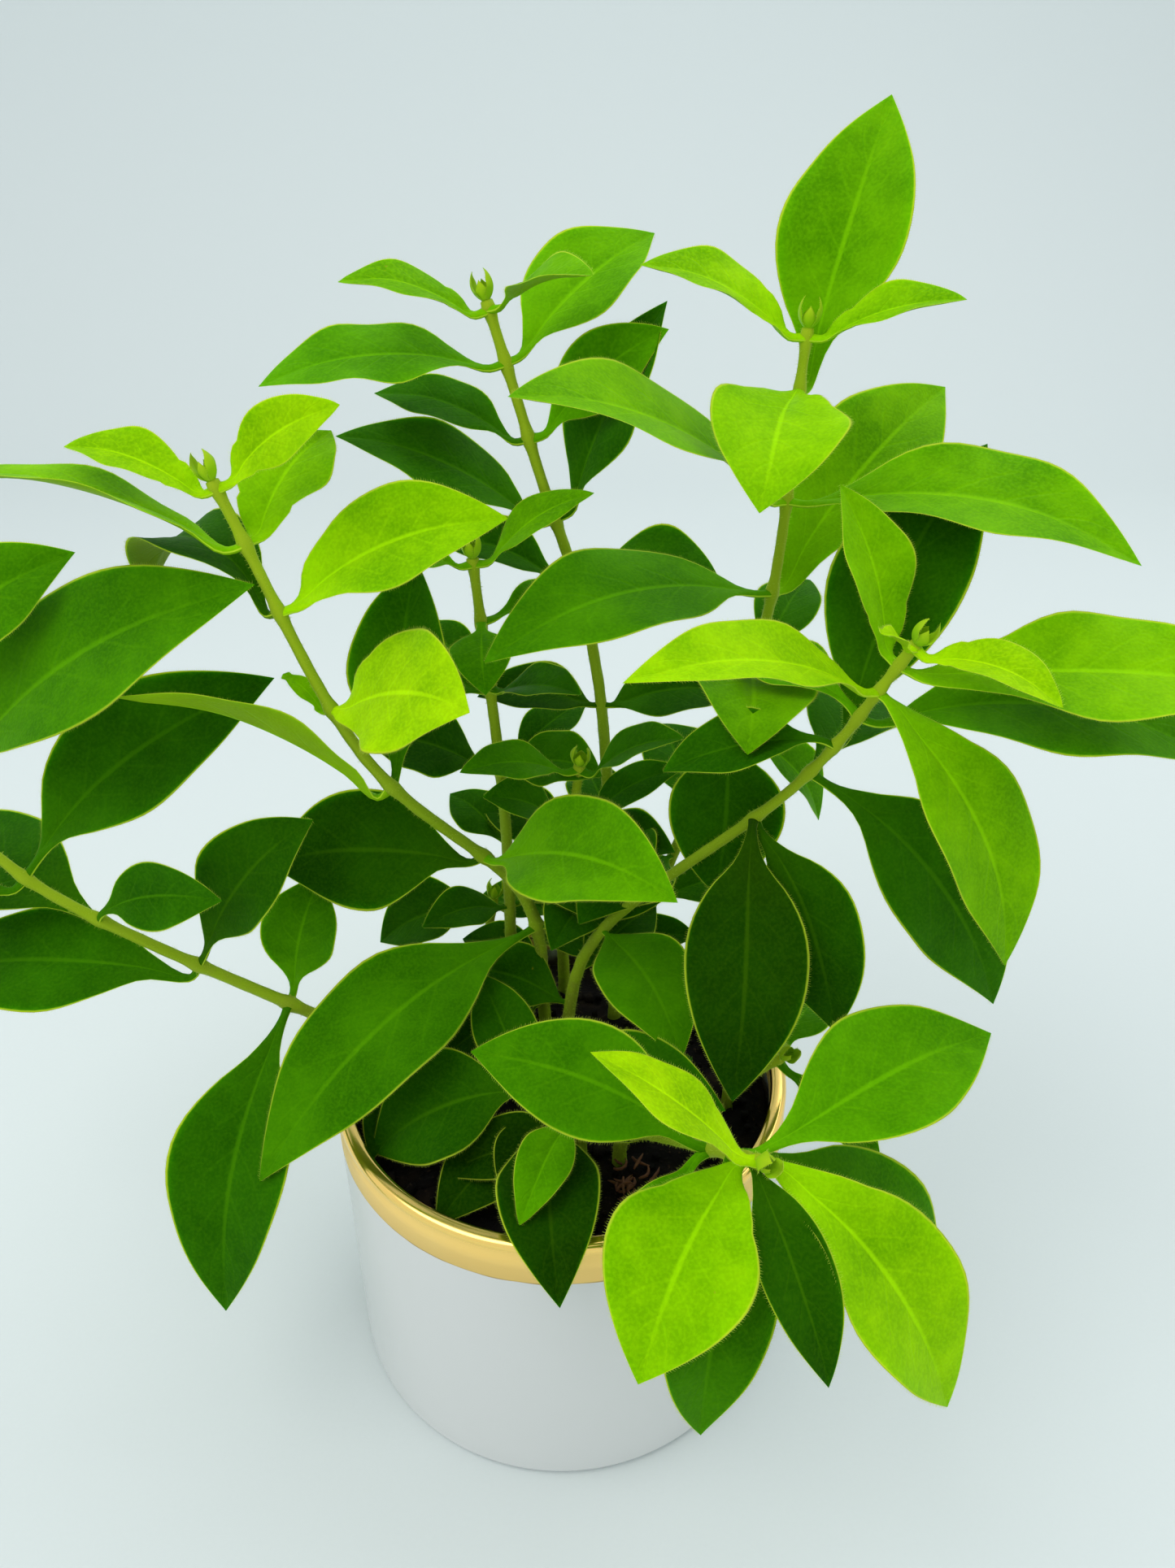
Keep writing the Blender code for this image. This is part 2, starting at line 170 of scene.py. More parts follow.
# Small leaves that the solids leave out: shoot, how far up it, clock hour seen from above, rise of the
# base over level and fall to the tip in degrees, length and width in millimetres, and tone
# The tones of these small leaves deep in the plant are kept low: partly their age, partly painted shade.
SMALL_LEAVES = [
    ("front_short", 0.97, 12, 40, 40, 16, 9, 2.5),
    ("front_short", 0.97, 3.6, 15, 30, 12, 9, 3.5),
    ("front_short", 0.97, 9, 30, 30, 8, 5, 3.5),
    ("front_short", 0.55, 3, 20, 40, 18, 11, 1),
    ("centre_short", 0.35, 7.4, 5, 25, 34, 19, 0),
    ("centre_short", 0.7, 6.6, -5, 20, 24, 13, 0),
    ("left_low", 0.04, 6.4, 20, 50, 28, 13, 1),
    ("left_tall", 0.07, 7.6, 20, 45, 40, 20, 1),
    ("left_tall", 0.11, 10, 40, 60, 26, 16, 1.5),
    ("right_leaning", 0.13, 9.4, 35, 50, 34, 20, 2),
    ("right_leaning", 0.3, 5.2, 20, 60, 44, 24, 4),
    ("right_leaning", 0.3, 11, 40, 50, 30, 17, 2),
    ("middle_tall", 0.12, 9, 30, 40, 20, 12, 2),
    ("middle_tall", 0.12, 3, 30, 40, 22, 13, 2),
    ("middle_tall", 0.32, 11.5, 30, 40, 26, 17, 2.5),
    ("middle_tall", 0.32, 5.5, 25, 50, 26, 17, 3),
    ("middle_tall", 0.5, 3, 30, 50, 34, 21, 2),
    ("middle_tall", 0.5, 9, 30, 50, 30, 17, 1.5),
    ("right_tall", 0.2, 2.5, 25, 50, 32, 18, 2.5),
    ("right_tall", 0.2, 8.5, 30, 50, 30, 18, 3),
    ("right_tall", 0.36, 11.5, 40, 50, 34, 20, 3),
    ("middle_short", 0.28, 8, 30, 50, 24, 14, 2),
    ("middle_short", 0.28, 2, 30, 50, 24, 14, 2),
    ("middle_short", 0.43, 10.5, 35, 40, 22, 15, 2),
    ("middle_low", 0.3, 3.5, 30, 50, 24, 14, 2),
    ("middle_low", 0.3, 9.5, 30, 50, 24, 14, 2),
    ("middle_low", 0.65, 4, 35, 40, 30, 20, 1.5),
    ("middle_low", 0.65, 10, 35, 40, 28, 19, 1.5),
    ("front_low", 0.93, 5.2, -15, 55, 42, 15, 1.5),
    ("front_short", 0.4, 8.5, 15, 45, 34, 16, 0),
    ("middle_short", 0.6, 3.6, 30, 50, 26, 19, 3.5),
    ("middle_short", 0.75, 9.5, 30, 40, 24, 16, 3.5),
    ("right_tall", 0.28, 7.4, 25, 55, 38, 24, 2.5),
    ("right_leaning", 0.2, 1.5, 35, 50, 30, 18, 1.5),
    ("middle_tall", 0.22, 7, 25, 50, 30, 19, 1.5),
    ("left_tall", 0.2, 2, 40, 40, 28, 18, 1.5),
]
TONE_COLOURS = [  # linear, from the darkest leaf to the brightest
    (0, (0.004, 0.036, 0.0005)),
    (3, (0.020, 0.130, 0.001)),
    (5, (0.072, 0.285, 0.001)),
    (7, (0.190, 0.470, 0.001)),
    (9, (0.370, 0.640, 0.002)),
]

# Colours, linear
PALE_FLESH = ((2.0, 1.7, 1.0, 1), (0.035, 0.055, 0.001, 1))  # its own colour times the first, plus the second
PATCH_SHADES = ((0.68, 0.78, 0.6, 1), (1.32, 1.18, 1.0, 1))
BLOTCH_SHADES = ((0.90, 0.93, 0.9, 1), (1.1, 1.06, 1.0, 1))
YELLOW_SPOT = (0.36, 0.30, 0.02, 1)
# the underside's own paler green, lightened further as painted light shining through the blade
UNDERSIDE_LIT_THROUGH = (0.26, 0.40, 0.01, 1)
# painted highlight: a bright rim along the leaf margin, standing for light caught in its hairs
PAINTED_RIM_GLOW = (0.60, 0.82, 0.04, 1)
LEAF_GLOSS = (0.8, 1.0, 0.05, 1)
LEAF_SHEEN = (0.6, 1.0, 0.02, 1)
PALE_HAIR = (0.75, 0.88, 0.16, 1)
STEM_SHEEN = (0.7, 1.0, 0.1, 1)
OLD_RIND = (0.10, 0.085, 0.02, 1)
YOUNG_RIND = (0.36, 0.50, 0.01, 1)
RIND_STREAK = (0.4, 0.5, 0.05, 1)
GLAZE_WHITES = ((0.66, 0.675, 0.665, 1), (0.62, 0.635, 0.625, 1))
GLAZE_INSIDE = (0.35, 0.42, 0.36, 1)
SOIL_STAIN = (0.045, 0.035, 0.02, 1)
GOLDS = ((1.0, 0.72, 0.22, 1), (1.0, 0.66, 0.17, 1))
WORN_GOLD = (0.30, 0.16, 0.04, 1)
# the dark mix, taken nearly black as painted shade under the leaves
SOIL_DARKS_AND_SHADE = ((0.003, 0.0025, 0.002, 1), (0.012, 0.008, 0.004, 1))
SOIL_GRAIN = (0.035, 0.022, 0.010, 1)
FIBRE_BROWNS = ((0.05, 0.014, 0.003, 1), (0.20, 0.075, 0.018, 1))
PAPERS = ((0.68, 0.735, 0.735, 1), (0.70, 0.755, 0.755, 1))

# Heights and radii on the pot between which its finish changes
INNER_WALL_RADII = (56.5 * MM, 57.5 * MM)
STAIN_HEIGHTS = (94 * MM, 84 * MM)
WORN_GOLD_HEIGHTS = (77.9 * MM, 78.5 * MM)
LIP_HEIGHTS = (86.5 * MM, 89 * MM)

# Studio
SHEET_FRONT = -1.2
SHEET_BACK = 0.9
SHEET_HALF_WIDTH = 2.2
SHEET_CURVE = 0.5
SHEET_TOP = 2.5
ROOM_COLOUR = (0.94, 0.985, 1.0, 1)
ROOM_STRENGTH = 0.86
LIGHTS = [  # name, place, diameter, power, colour
    ("window", (-0.5, -0.35, 1.1), 0.9, 4.5, (1.0, 0.99, 0.96)),
    ("sky_panel", (0.5, 0.5, 1.2), 1.0, 4.0, (0.98, 1.0, 1.0)),
]
LIGHTS_AIM = (0, 0, 0.15)


# ---------------------------------------------------------------- reading the frame


def welded(node):
    """The node's points, with those at one place joined, and the neighbours of each along its edges."""
    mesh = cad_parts[node].data
    places = np.array([v.co for v in mesh.vertices])
    cells = np.round(places / WELD_DISTANCE).astype(int)
    _, first, index = np.unique(cells, axis=0, return_index=True, return_inverse=True)
    points = places[first]
    index = index.reshape(-1)
    neighbours = [set() for _ in points]
    for edge in mesh.edges:
        a, b = (index[v] for v in edge.vertices)
        if a != b:
            neighbours[a].add(int(b))
            neighbours[b].add(int(a))
    return points, neighbours


def levels(neighbours, start):
    """Sets of points one, two, three and more edges away from the start."""
    seen = set(start)
    found = [sorted(start)]
    while found[-1]:
        ring = sorted({n for v in found[-1] for n in neighbours[v]} - seen)
        seen.update(ring)
        found.append(ring)
    return found[:-1]


def unit(vectors):
    """The vectors at length one."""
    return vectors / np.maximum(np.linalg.norm(vectors, axis=-1, keepdims=True), 1e-12)


def read_leaf(points, rings, tip):
    """The leaf's sections from petiole to tip: centre, up and half width."""
    sections = []
    for ring in rings[::-1]:
        quad = points[ring]
        gaps = [(np.linalg.norm(quad[i] - quad[j]), i, j) for i in range(4) for j in range(i)]
        _, i, j = max(gaps)
        top, bottom = (quad[k] for k in range(4) if k not in (i, j))
        middle = (quad[i] + quad[j]) / 2
        if np.linalg.norm(bottom - middle) < np.linalg.norm(top - middle):
            top, bottom = bottom, top
        sections.append(((top + bottom) / 2, top - bottom, quad[i] - quad[j], max(gaps)[0] / 2))
    centre = np.array([s[0] for s in sections] + [tip])
    up = unit(np.array([s[1] for s in sections]))
    if up[0] @ up[1] < 0:
        up[0] = -up[0]
    up = np.vstack([up, up[-1]])
    width = np.array([s[3] for s in sections] + [0.0])
    return {"centre": centre, "up": up, "width": width}


def read_pair(node):
    """Both leaves of a pair: its tips are the two points farthest apart along the edges."""
    points, neighbours = welded(node)
    tip = levels(neighbours, [0])[-1][0]
    out = levels(neighbours, [tip])
    back = levels(neighbours, [out[-1][0]])
    first = read_leaf(points, out[1:LEAF_RINGS + 1], points[tip])
    second = read_leaf(points, back[1:LEAF_RINGS + 1], points[out[-1][0]])
    middle = points[sum(out[LEAF_RINGS + 1:-LEAF_RINGS - 1], [])].mean(axis=0)
    return [first, second], middle


def read_stem(node):
    """The stem's centre line and radius, read by moving a cutting plane up from its level foot."""
    points, neighbours = welded(node)
    low, high = np.array([(i, j) for i, near in enumerate(neighbours) for j in near if i < j]).T
    foot = points[points[:, 2] < points[:, 2].min() + FLAT]
    centre, ahead = foot.mean(axis=0), np.array([0.0, 0.0, 1.0])
    places, radii = [centre], [np.linalg.norm(foot - centre, axis=1).max()]
    while True:
        probe = places[-1] + ahead * SLICE_STEP
        below, above = (points[low] - probe) @ ahead, (points[high] - probe) @ ahead
        cut = below * above < 0
        share = below[cut] / (below[cut] - above[cut])
        hits = points[low][cut] + (points[high] - points[low])[cut] * share[:, None]
        hits = hits[np.linalg.norm(hits - probe, axis=1) < STEM_REACH]
        if len(hits) < 3:
            break
        places.append((hits.min(axis=0) + hits.max(axis=0)) / 2)
        radii.append(np.linalg.norm(hits - places[-1], axis=1).max())
        ahead = unit(places[-1] - places[-2])
    end = max((points - places[-1]) @ ahead)
    places.append(places[-1] + ahead * max(end, 0.1 * MM))
    radii.append(radii[-1])
    return np.array(places), np.array(radii)


# ---------------------------------------------------------------- mesh helpers


def spline(knots, values, where):
    """A smooth curve through the values at the knots, read at other places."""
    values = np.asarray(values, float)
    slope = np.gradient(values, knots, axis=0)
    i = np.clip(np.searchsorted(knots, where, side="right") - 1, 0, len(knots) - 2)
    span = knots[i + 1] - knots[i]
    t = (where - knots[i]) / span
    if values.ndim > 1:
        t, span = t[:, None], span[:, None]
    return (
        (2 * t ** 3 - 3 * t ** 2 + 1) * values[i]
        + (t ** 3 - 2 * t ** 2 + t) * span * slope[i]
        + (3 * t ** 2 - 2 * t ** 3) * values[i + 1]
        + (t ** 3 - t ** 2) * span * slope[i + 1]
    )


def smoothstep(low, high, x):
    """Nothing below low, rising smoothly to one above high."""
    t = np.clip((x - low) / (high - low), 0, 1)
    return t * t * (3 - 2 * t)


def lengths_along(points):
    """The length of the line from its start to each of its points."""
    return np.concatenate([[0], np.cumsum(np.linalg.norm(np.diff(points, axis=0), axis=1))])


def read_along(at, run, points):
    """Points read straight between those at the lengths in run."""
    return np.stack([np.interp(at, run, points[:, k]) for k in range(3)], axis=1)


class Shape:
    """Points, faces and what the materials read, gathered from several closed forms."""

    def __init__(self):
        self.points, self.faces, self.face_materials = [], [], []
        self.colours, self.unders, self.uvs = [], [], []

    def add(self, points, faces, colour=(1, 1, 1), under=0.0, uv=(0.5, 0.5), material=0):
        start = len(self.points)
        count = len(points)
        self.points += [tuple(p) for p in points]
        self.faces += [tuple(start + i for i in face) for face in faces]
        self.face_materials += [material] * len(faces)
        self.colours += [(*colour, 1)] * count
        self.unders += list(under) if np.ndim(under) else [under] * count
        self.uvs += [tuple(p) for p in uv] if np.ndim(uv) > 1 else [uv] * count

    def make(self, name, materials, replaces=()):
        mesh = bpy.data.meshes.new(name)
        mesh.from_pydata(self.points, [], self.faces)
        for material in materials:
            mesh.materials.append(material)
        mesh.polygons.foreach_set("material_index", self.face_materials)
        colours = mesh.attributes.new("leaf_colour", "FLOAT_COLOR", "POINT")
        colours.data.foreach_set("color", np.ravel(self.colours))
        unders = mesh.attributes.new("underside", "FLOAT", "POINT")
        unders.data.foreach_set("value", self.unders)
        corners = np.zeros(len(mesh.loops), int)
        mesh.loops.foreach_get("vertex_index", corners)
        uv_map = mesh.uv_layers.new(name="along_and_across")
        uv_map.data.foreach_set("uv", np.array(self.uvs)[corners].ravel())
        mesh.shade_smooth()
        mesh.update()
        return place_piece(bpy.data.objects.new(name, mesh), replaces)


def place_piece(thing, replaces=()):
    """Links the piece, says what it rides on and hides the solids that it stands for."""
    if not thing.users_collection:
        bpy.context.scene.collection.objects.link(thing)
    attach(thing, "root")
    if replaces:
        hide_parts(*replaces)
    return thing


def add_hairs(shape, roots, directions, colour, material):
    """A fine three-sided spike at each root."""
    roots, directions = np.asarray(roots), unit(np.asarray(directions))
    across = unit(np.cross(directions, [0.31, 0.52, 0.79]))
    other = np.cross(directions, across)
    points, faces = [], []
    for root, ahead, x, y in zip(roots, directions, across, other):
        start = len(points)
        for k in range(3):
            a = 2 * math.pi * k / 3
            points.append(root + (x * math.cos(a) + y * math.sin(a)) * HAIR_RADIUS)
        points.append(root + ahead * HAIR_LENGTH * RANDOM.uniform(*HAIR_LENGTHS))
        a, b, c, tip = range(start, start + 4)
        faces += [(a, b, tip), (b, c, tip), (c, a, tip), (c, b, a)]
    shape.add(points, faces, colour=colour, material=material)


def add_tube(shape, line, radii, sides=6):
    """A closed tube along the line."""
    line = np.array(line)
    ahead = unit(np.gradient(line, axis=0))
    across = unit(np.cross(ahead, [0.31, 0.2, 0.93]))
    other = np.cross(ahead, across)
    points, faces = [], [tuple(range(sides))[::-1]]
    for place, x, y, radius in zip(line, across, other, radii):
        for k in range(sides):
            a = 2 * math.pi * k / sides
            points.append(place + (x * math.cos(a) + y * math.sin(a)) * radius)
    for row in range(len(line) - 1):
        for k in range(sides):
            j = (k + 1) % sides
            a, b = row * sides, (row + 1) * sides
            faces.append((a + k, a + j, b + j, b + k))
    faces.append(tuple(range(len(points) - sides, len(points))))
    shape.add(points, faces)


def tone_colour(tone):
    """The leaf colour at this tone."""
    tones, colours = zip(*TONE_COLOURS)
    return tuple(np.interp(tone, tones, channel) for channel in zip(*colours))


# ---------------------------------------------------------------- leaves


def leaf_frame(leaf, stem_point, tone):
    """Rows of the fine blade: places from the stem to the tip with their up, side and half width."""
    centre = np.vstack([stem_point, leaf["centre"]])
    up = np.vstack([leaf["up"][0], leaf["up"]])
    width = np.concatenate([[leaf["width"][0] * PETIOLE_FOOT_SPREAD], leaf["width"]])
    run = lengths_along(centre)
    knots = run / run[-1]
    stalk = np.linspace(0, PETIOLE_END, PETIOLE_ROWS, endpoint=False)
    blade = np.sin(np.linspace(0, 0.5 * math.pi, BLADE_ROWS)) ** 1.15 * 0.995
    where = np.concatenate([stalk, PETIOLE_END + (1 - PETIOLE_END) * blade])
    place = spline(knots, centre, where)
    ahead = unit(np.gradient(place, where, axis=0))
    up = spline(knots, up, where)
    up = unit(up - ahead * np.sum(up * ahead, axis=1, keepdims=True))
    half = np.maximum(spline(knots, width, where), LEAST_HALF_WIDTH)
    if tone >= YOUNG_TONE:
        wing = YOUNG_WING * half.max() * np.clip(where / WING_END, 0, 1)
        half = np.maximum(half, wing * (where < WING_END))
    return where, place, up, np.cross(ahead, up), half, run[-1]


def leaf_relief(where, half, length):
    """Heights of the upper and lower face, and how far each row curls down and sways aside."""
    v = COLUMNS[None, :]
    x = v * half[:, None]
    row = where[:, None]
    fold = RANDOM.uniform(*FOLD)
    phase, waves = RANDOM.uniform(0, 6.3), RANDOM.uniform(*EDGE_WAVES)
    shift = RANDOM.uniform(*EDGE_WAVE_SHIFT)
    curl = RANDOM.uniform(*TIP_CURL) * length * smoothstep(TIP_CURL_START, 1.0, where) ** 1.5
    sway = SWAY * length * np.sin(math.pi * where) * np.sin(2.2 * where + phase)
    wave = np.sin(2 * math.pi * waves * row + phase + shift * 3 * np.sign(v))
    wave = EDGE_WAVE * wave * np.abs(v) ** 2.5
    fade = 1 - smoothstep(*WAVE_FADE, row)
    vein = (row * length - np.abs(x) * VEIN_SLANT) / VEIN_SPACING + 0.5 * (v > 0)
    swell = VEIN_SWELL * (1 - np.abs(np.cos(math.pi * vein)) ** 0.8) * smoothstep(*VEIN_FIELD, np.abs(x))
    swell = swell * (1 - np.abs(v) ** 4) * fade
    groove = MIDRIB_GROOVE * np.exp(-(x / MIDRIB_GROOVE_WIDTH) ** 2) * (1 - 0.6 * row)
    ridge = MIDRIB_RIDGE * np.exp(-(x / MIDRIB_RIDGE_WIDTH) ** 2) * (1 - 0.85 * row)
    body = half[:, None] * (fold * np.abs(v) ** 1.2 + wave * fade)
    thin = 1 - np.abs(v) ** 5
    stalk = PETIOLE_HALF_THICKNESS * np.sqrt(np.clip(1 - v * v, 0, 1))
    narrow = np.clip(half[:, None] / NARROW_WIDTH, 0, 1)
    blade = smoothstep(PETIOLE_END, BLADE_START, row)
    upper = body + (swell - groove) * narrow + 0.2 * BLADE_THICKNESS * thin
    lower = body - (BLADE_THICKNESS * thin + ridge) * narrow
    top = (1 - blade) * stalk + blade * upper
    bottom = -(1 - blade) * stalk + blade * lower
    bottom[:, [0, -1]] = top[:, [0, -1]]
    return top, bottom, curl, sway


def leaf_faces(rows, columns):
    """Faces of a closed blade: the upper grid, the lower grid inside its edges, then the tip."""

    def above(row, column):
        return row * columns + column

    def below(row, column):
        if column in (0, columns - 1):
            return above(row, column)
        return rows * columns + row * (columns - 2) + column - 1

    tip = rows * columns + rows * (columns - 2)
    faces = []
    for row in range(rows - 1):
        for column in range(columns - 1):
            for at, a, b in ((above, column, column + 1), (below, column + 1, column)):
                faces.append((at(row, a), at(row, b), at(row + 1, b), at(row + 1, a)))
    for column in range(columns - 1):
        faces.append((above(rows - 1, column), above(rows - 1, column + 1), tip))
        faces.append((below(rows - 1, column + 1), below(rows - 1, column), tip))
        faces.append((above(0, column + 1), above(0, column), below(0, column), below(0, column + 1)))
    faces = [tuple(dict.fromkeys(face)) for face in faces]
    return [face for face in faces if len(face) > 2]


def edge_hairs(edge, outward, up):
    """Roots and directions of the hairs along one edge of a blade."""
    run = lengths_along(edge)
    at = np.arange(0, run[-1], EDGE_HAIR_STEP)
    spread = np.array([[RANDOM.uniform(*EDGE_HAIR_SPREAD) for _ in range(3)] for _ in at])
    directions = read_along(at, run, outward) + EDGE_HAIR_LIFT * read_along(at, run, up) + spread
    return read_along(at, run, edge), directions


def add_leaf(shape, leaf, stem_point, tone, hairs=True):
    """One closed blade with a grooved midrib, raised fields between its side veins and a hairy edge."""
    where, place, up, side, half, length = leaf_frame(leaf, stem_point, tone)
    top, bottom, curl, sway = leaf_relief(where, half, length)
    place = place - up * curl[:, None] + side * sway[:, None]
    grid = place[:, None, :] + side[:, None, :] * (COLUMNS[None, :] * half[:, None])[..., None]
    upper = grid + up[:, None, :] * top[..., None]
    lower = (grid + up[:, None, :] * bottom[..., None])[:, 1:-1]
    rows, columns = upper.shape[:2]
    tip = leaf["centre"][-1] - up[-1] * curl[-1]
    points = np.vstack([upper.reshape(-1, 3), lower.reshape(-1, 3), tip])
    across = np.broadcast_to((COLUMNS[None, :] + 1) / 2, (rows, columns))
    along = np.broadcast_to(where[:, None], (rows, columns))
    uv = np.stack([along, across], axis=-1)
    uv = np.vstack([uv.reshape(-1, 2), uv[:, 1:-1].reshape(-1, 2), [1, 0.5]])
    under = np.concatenate([np.zeros(rows * columns), np.ones(rows * (columns - 2)), [0.0]])
    colour = tone_colour(tone + RANDOM.uniform(-TONE_SPREAD, TONE_SPREAD))
    shape.add(points, leaf_faces(rows, columns), colour=colour, under=under, uv=uv)
    if hairs:
        grown = slice(PETIOLE_ROWS, None)
        left = edge_hairs(upper[grown, 0], -side[grown], up[grown])
        right = edge_hairs(upper[grown, -1], side[grown], up[grown])
        roots, directions = (np.vstack(pair) for pair in zip(left, right))
        add_hairs(shape, roots, directions, HAIR_COLOUR, 1)


def nearest(stem, place):
    """The nearest place on the stem's centre line, and how far up the stem that is."""
    centre, _ = stem
    starts, spans = centre[:-1], np.diff(centre, axis=0)
    t = np.clip(np.sum((place - starts) * spans, axis=1) / np.sum(spans * spans, axis=1), 0, 1)
    feet = starts + spans * t[:, None]
    best = int(np.argmin(np.linalg.norm(feet - place, axis=1)))
    return feet[best], lengths_along(centre)[best] + t[best] * np.linalg.norm(spans[best])


def grown_leaf(place, hour, rise, fall, length, width):
    """A leaf from its clock hour, its rise and fall and its size, that turns its face to the front."""
    bearing = math.radians(90 - hour * 30)
    heading = np.array([math.cos(bearing), math.sin(bearing), 0])
    shares = OUTLINE_SHARES
    pitch = np.radians(rise - fall * shares)[:, None]
    ahead = heading * np.cos(pitch) + np.array([0, 0, 1]) * np.sin(pitch)
    steps = (ahead[1:] + ahead[:-1]) / 2 * np.diff(shares)[:, None]
    centre = place + np.vstack([[0, 0, 0], np.cumsum(steps, axis=0)]) * length * MM
    up = np.array([0, 0, 1]) * np.cos(pitch) - heading * np.sin(pitch) + TURN_TO_FRONT
    up = unit(up - ahead * np.sum(up * ahead, axis=1, keepdims=True))
    near = np.sin(math.pi / 2 * np.clip(shares / WIDEST_AT, 0, 1))
    far = np.cos(math.pi / 2 * np.clip((shares - WIDEST_AT) / (1 - WIDEST_AT), 0, 1))
    half = np.maximum(np.where(shares < WIDEST_AT, near, far) * width / 2 * MM, STALK_HALF_WIDTH)
    half[-1] = 0
    return {"centre": centre, "up": up, "width": half}


def make_small_leaves(stems, materials):
    """The small leaves deep in the plant, one piece for each shoot that carries some."""
    for shoot in dict.fromkeys(row[0] for row in SMALL_LEAVES):
        centre, _ = stems[shoot]
        run = lengths_along(centre) / lengths_along(centre)[-1]
        shape = Shape()
        own = [row[1:] for row in SMALL_LEAVES if row[0] == shoot]
        for share, hour, rise, fall, length, width, tone in own:
            joint = read_along([share], run, centre)[0]
            turn = math.radians(hour * 30)
            out = np.array([math.sin(turn), math.cos(turn), 0])
            leaf = grown_leaf(joint + out * STALK_START, hour, rise, fall, length, width)
            add_leaf(shape, leaf, joint, tone)
        shape.make(f"small_leaves_{shoot}", materials)


def make_leaves(stems, materials):
    """Every pair of leaves, and how far up each stem its pairs stand."""
    joints = {shoot: [] for shoot in stems}
    for shoot, tones in TONES.items():
        for number, pair_tones in enumerate(tones, 1):
            node = f"leaf_pair_{shoot}_{number}"
            pair, middle = read_pair(node)
            pair.sort(key=lambda leaf: leaf["centre"][-1][0])
            foot, height = nearest(stems[shoot], middle)
            joints[shoot].append(height)
            shape = Shape()
            for leaf, tone in zip(pair, pair_tones):
                add_leaf(shape, leaf, foot, tone)
            shape.make(f"{node}_blades", materials, [node])
    return joints


# ---------------------------------------------------------------- stems


def bud_leaf(place, ahead, outward, length, width):
    """A small leaf of the growing tip, folded up around it."""
    t = np.linspace(0, 1, LEAF_RINGS + 1)
    bulge = BUD_OPENING * length * np.sin(math.pi * t * 0.8)
    centre = place + ahead * (t * length)[:, None] + outward * bulge[:, None]
    up = np.tile(unit(ahead * 0.25 - outward), (len(t), 1))
    half = np.concatenate([[0.35], np.sin(math.pi * t[1:-1] ** 0.9), [0]]) * width / 2
    return {"centre": centre, "up": up, "width": half}


def make_stem(shoot, stem, joints, materials):
    """A round hairy stem that swells at its leaf joints and ends in a growing tip."""
    centre, radius = stem
    run = lengths_along(centre)
    where = np.linspace(0, run[-1], max(8, int(run[-1] / STEM_STEP)))
    place = spline(run, centre, where)
    thick = np.interp(where, run, radius)
    for joint in joints:
        thick = thick * (1 + NODE_SWELL * np.exp(-((where - joint) / NODE_SWELL_LENGTH) ** 2))
    ahead = unit(np.gradient(place, where, axis=0))
    across = unit(np.cross(ahead, [0.2, 1.0, 0.1]))
    other = np.cross(ahead, across)
    angles = np.arange(STEM_SIDES) * 2 * math.pi / STEM_SIDES
    spokes = across[:, None] * np.cos(angles)[None, :, None]
    spokes = spokes + other[:, None] * np.sin(angles)[None, :, None]
    ribs = 1 + STEM_RIB_HEIGHT * np.sin(STEM_RIBS * angles)[None, :]
    ribs = ribs + STEM_RIPPLE_HEIGHT * np.sin(where * STEM_RIPPLE_RATE)[:, None]
    rings = place[:, None] + spokes * (thick[:, None] * ribs)[..., None]
    rows = len(where)
    rings[0] = place[0] - ahead[0] * ROOT_DEPTH + (rings[0] - place[0]) * ROOT_FLARE
    ends = [place[0] - ahead[0] * ROOT_DEPTH, place[-1] + ahead[-1] * STEM_TIP_CAP]
    points = np.vstack([rings.reshape(-1, 3), *ends])
    faces = []
    for row in range(rows - 1):
        for i in range(STEM_SIDES):
            j = (i + 1) % STEM_SIDES
            a, b = row * STEM_SIDES, (row + 1) * STEM_SIDES
            faces.append((a + i, a + j, b + j, b + i))
    end = (rows - 1) * STEM_SIDES
    for i in range(STEM_SIDES):
        j = (i + 1) % STEM_SIDES
        faces += [(j, i, len(points) - 2), (end + i, end + j, len(points) - 1)]
    shape = Shape()
    share = np.repeat(where / run[-1], STEM_SIDES)
    uv = np.stack([share, np.tile(angles / (2 * math.pi), rows)], axis=1)
    shape.add(points, faces, colour=STEM_COLOUR, uv=np.vstack([uv, [0, 0], [1, 0]]))
    count = int(run[-1] / STEM_HAIR_STEP * STEM_HAIR_ROWS)
    at = np.array([RANDOM.uniform(0, run[-1]) for _ in range(count)])
    turn = np.array([RANDOM.uniform(0, 2 * math.pi) for _ in range(count)])
    spot = read_along(at, where, place)
    x, y = read_along(at, where, across), read_along(at, where, other)
    out = x * np.cos(turn)[:, None] + y * np.sin(turn)[:, None]
    roots = spot + out * np.interp(at, where, thick)[:, None] * 0.97
    add_hairs(shape, roots, out, HAIR_COLOUR, 1)
    for ring, (length, width) in enumerate(BUD_LEAVES):
        for sign in (1, -1):
            outward = (across[-1] if ring == 0 else other[-1]) * sign
            leaf = bud_leaf(place[-1] - ahead[-1] * STEM_TIP_CAP, ahead[-1], outward, length, width)
            add_leaf(shape, leaf, place[-1] - ahead[-1] * MM, BUD_TONE, hairs=ring == 0)
    shape.make(f"stem_{shoot}_hairy", materials, [f"stem_{shoot}"])


# ---------------------------------------------------------------- pot and potting mix


